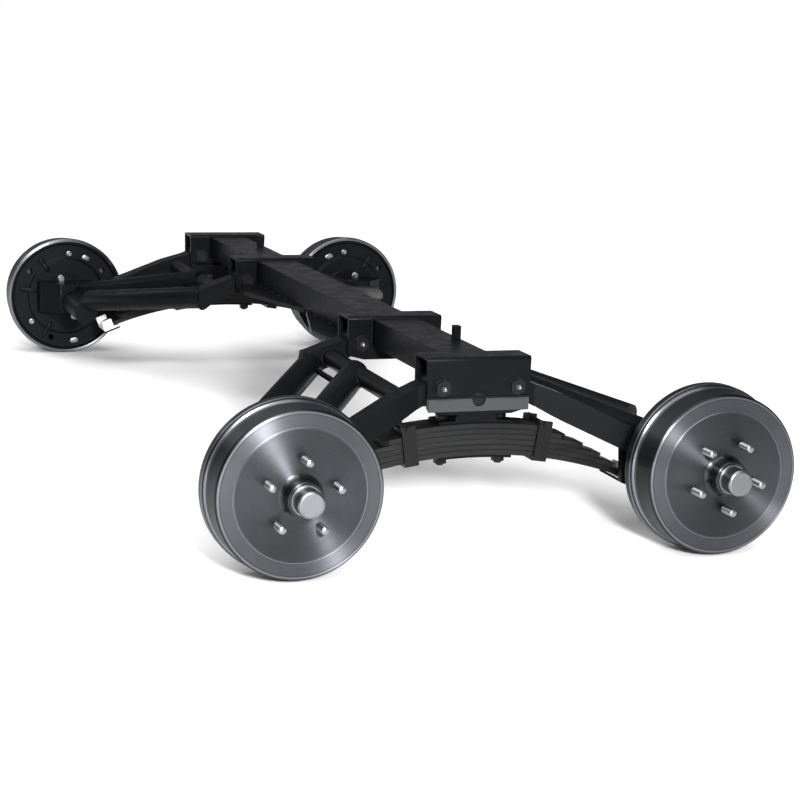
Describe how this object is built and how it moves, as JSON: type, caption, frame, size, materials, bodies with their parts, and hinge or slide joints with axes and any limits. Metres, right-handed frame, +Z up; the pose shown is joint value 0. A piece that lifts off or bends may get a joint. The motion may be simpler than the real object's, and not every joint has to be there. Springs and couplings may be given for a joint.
{
  "type": "tandem trailing arm suspension",
  "caption": "Tandem load-sharing caravan suspension: leaf springs rocking in hangers, trailing arms on a cross-member, and electric brake drums.",
  "frame": {"origin": "on the ground under the middle of the frame, midway between the four wheel centres", "axes": "+X forward, +Y to the left side of the vehicle, +Z up; wheels turn about Y"},
  "size_m": [1, 2.204, 0.327],
  "materials": {
    "black_paint": "satin gloss black paint",
    "arm_paint": "satin gloss black paint over welds",
    "spring_steel": "black painted spring steel",
    "black_fastener": "black painted fastener",
    "stud_zinc": "bright zinc plate",
    "cap_steel": "bright pressed steel",
    "drum_iron": "machined and oiled cast iron",
    "backing_paint": "black painted pressed steel",
    "brake_lining": "lined brake shoe",
    "bush": "moulded bush",
    "nylon": "white nylon",
    "bare_steel": "machined steel"
  },
  "bodies": {
    "frame": {"cross_member": "black_paint", "cross_member_gussets": "black_paint", "outer_hanger_left": "black_paint", "outer_hanger_right": "black_paint", "inner_hanger_left": "black_paint", "inner_hanger_right": "black_paint", "arm_pivot_bolts": "black_fastener", "rocker_pins": "black_fastener"},
    "rocker_left": {"main_leaf_left": "spring_steel", "graduated_leaves_left": "spring_steel", "spring_saddle_left": "black_paint", "spring_clamp_plate_left": "black_paint", "spring_bolts_left": "black_fastener", "rebound_clips_left": "black_fastener"},
    "rocker_right": {"main_leaf_right": "spring_steel", "graduated_leaves_right": "spring_steel", "spring_saddle_right": "black_paint", "spring_clamp_plate_right": "black_paint", "spring_bolts_right": "black_fastener", "rebound_clips_right": "black_fastener"},
    "trailing_arm_front_left": {"arm_front_left": "arm_paint", "arm_bushes_front_left": "bush", "wear_pad_front_left": "nylon", "spindle_front_left": "bare_steel", "backing_plate_front_left": "backing_paint", "brake_gear_front_left": "brake_lining"},
    "hub_front_left": {"brake_drum_front_left": "drum_iron", "wheel_studs_front_left": "stud_zinc", "grease_cap_front_left": "cap_steel", "wheel_bearings_front_left": "bare_steel"},
    "trailing_arm_front_right": {"arm_front_right": "arm_paint", "arm_bushes_front_right": "bush", "wear_pad_front_right": "nylon", "spindle_front_right": "bare_steel", "backing_plate_front_right": "backing_paint", "brake_gear_front_right": "brake_lining"},
    "hub_front_right": {"brake_drum_front_right": "drum_iron", "wheel_studs_front_right": "stud_zinc", "grease_cap_front_right": "cap_steel", "wheel_bearings_front_right": "bare_steel"},
    "trailing_arm_rear_left": {"arm_rear_left": "arm_paint", "arm_bushes_rear_left": "bush", "wear_pad_rear_left": "nylon", "spindle_rear_left": "bare_steel", "backing_plate_rear_left": "backing_paint", "brake_gear_rear_left": "brake_lining"},
    "hub_rear_left": {"brake_drum_rear_left": "drum_iron", "wheel_studs_rear_left": "stud_zinc", "grease_cap_rear_left": "cap_steel", "wheel_bearings_rear_left": "bare_steel"},
    "trailing_arm_rear_right": {"arm_rear_right": "arm_paint", "arm_bushes_rear_right": "bush", "wear_pad_rear_right": "nylon", "spindle_rear_right": "bare_steel", "backing_plate_rear_right": "backing_paint", "brake_gear_rear_right": "brake_lining"},
    "hub_rear_right": {"brake_drum_rear_right": "drum_iron", "wheel_studs_rear_right": "stud_zinc", "grease_cap_rear_right": "cap_steel", "wheel_bearings_rear_right": "bare_steel"}
  },
  "joints": [
    {"name": "rocker_left_tilt", "type": "hinge", "parent": "frame", "child": "rocker_left", "pos_m": [0, 0.821, 0.24], "axis": [0, 1, 0], "range_deg": [-8, 8]},
    {"name": "rocker_right_tilt", "type": "hinge", "parent": "frame", "child": "rocker_right", "pos_m": [0, -0.821, 0.24], "axis": [0, 1, 0], "range_deg": [-8, 8]},
    {"name": "arm_front_left_swing", "type": "hinge", "parent": "frame", "child": "trailing_arm_front_left", "pos_m": [0.066, 0.821, 0.26], "axis": [0, 1, 0], "range_deg": [-9.8, 9.8]},
    {"name": "hub_front_left_spin", "type": "hinge", "parent": "trailing_arm_front_left", "child": "hub_front_left", "pos_m": [0.36, 1.044, 0.14], "axis": [0, 1, 0], "continuous": true},
    {"name": "arm_front_right_swing", "type": "hinge", "parent": "frame", "child": "trailing_arm_front_right", "pos_m": [0.066, -0.821, 0.26], "axis": [0, 1, 0], "range_deg": [-9.8, 9.8]},
    {"name": "hub_front_right_spin", "type": "hinge", "parent": "trailing_arm_front_right", "child": "hub_front_right", "pos_m": [0.36, -1.044, 0.14], "axis": [0, 1, 0], "continuous": true},
    {"name": "arm_rear_left_swing", "type": "hinge", "parent": "frame", "child": "trailing_arm_rear_left", "pos_m": [-0.066, 0.821, 0.26], "axis": [0, 1, 0], "range_deg": [-9.8, 9.8]},
    {"name": "hub_rear_left_spin", "type": "hinge", "parent": "trailing_arm_rear_left", "child": "hub_rear_left", "pos_m": [-0.36, 1.044, 0.14], "axis": [0, 1, 0], "continuous": true},
    {"name": "arm_rear_right_swing", "type": "hinge", "parent": "frame", "child": "trailing_arm_rear_right", "pos_m": [-0.066, -0.821, 0.26], "axis": [0, 1, 0], "range_deg": [-9.8, 9.8]},
    {"name": "hub_rear_right_spin", "type": "hinge", "parent": "trailing_arm_rear_right", "child": "hub_rear_right", "pos_m": [-0.36, -1.044, 0.14], "axis": [0, 1, 0], "continuous": true}
  ],
  "couplings": [
    {"joint": "arm_front_left_swing", "follows": "rocker_left_tilt", "ratio": 1.21},
    {"joint": "arm_front_right_swing", "follows": "rocker_right_tilt", "ratio": 1.21},
    {"joint": "arm_rear_left_swing", "follows": "rocker_left_tilt", "ratio": 1.21},
    {"joint": "arm_rear_right_swing", "follows": "rocker_right_tilt", "ratio": 1.21}
  ]
}
